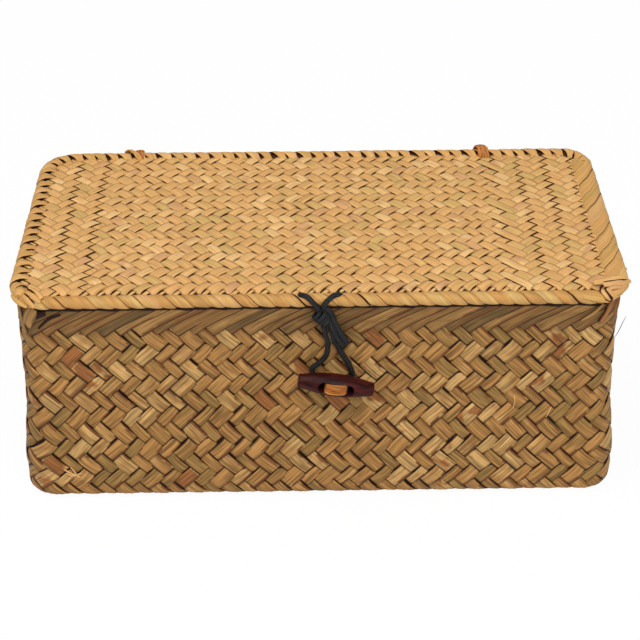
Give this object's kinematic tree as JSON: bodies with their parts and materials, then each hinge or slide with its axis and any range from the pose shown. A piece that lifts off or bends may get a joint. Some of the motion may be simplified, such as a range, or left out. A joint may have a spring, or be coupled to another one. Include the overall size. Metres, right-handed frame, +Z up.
{
  "type": "lidded woven storage basket",
  "caption": "Rectangular woven grass storage box with a flat lid hinged on grass ties and closed by a cord loop over a wooden toggle.",
  "frame": {"origin": "middle of the underside of the base", "axes": "+X along the long side, to the right seen from the front; +Y to the rear, where the lid is hinged; +Z up"},
  "size_m": [0.25, 0.1489, 0.1016],
  "materials": {
    "body_grass": "woven dried grass, matte, olive tan",
    "edge_grass": "folded dried grass, matte, shaded tan",
    "lid_grass": "woven dried grass, satin, golden tan",
    "rim_grass": "wrapped dried grass, satin, golden tan",
    "tie_grass": "twisted raffia, matte, orange tan",
    "stitch_grass": "raffia, matte, orange",
    "dark_wood": "stained and polished, dark red-brown",
    "waxed_cord": "waxed cotton, charcoal"
  },
  "bodies": {
    "basket": {"basket_shell": "body_grass", "basket_folded_edge": "edge_grass", "hinge_tie_left": "tie_grass", "hinge_tie_right": "tie_grass", "hinge_knot_left": "tie_grass", "hinge_knot_right": "tie_grass"},
    "lid": {"lid_panel": "lid_grass", "lid_rim_front": "rim_grass", "lid_rim_rear": "rim_grass", "lid_rim_left": "rim_grass", "lid_rim_right": "rim_grass", "cord_anchor": "waxed_cord", "cord_knot": "waxed_cord", "cord_tail_left": "waxed_cord", "cord_tail_right": "waxed_cord", "cord_loop": "waxed_cord"},
    "toggle": {"toggle_barrel": "dark_wood", "toggle_stitch": "stitch_grass", "toggle_stitch_knot": "stitch_grass"}
  },
  "joints": [
    {"name": "lid_hinge", "type": "hinge", "parent": "basket", "child": "lid", "pos_m": [0, 0.0654, 0.0961], "axis": [-1, 0, 0], "range_deg": [0, 100], "deforming": ["cord_loop"]},
    {"name": "toggle_swivel", "type": "hinge", "parent": "basket", "child": "toggle", "pos_m": [0.0064, -0.0717, 0.0585], "axis": [0, 1, 0], "range_deg": [-20, 20]}
  ]
}
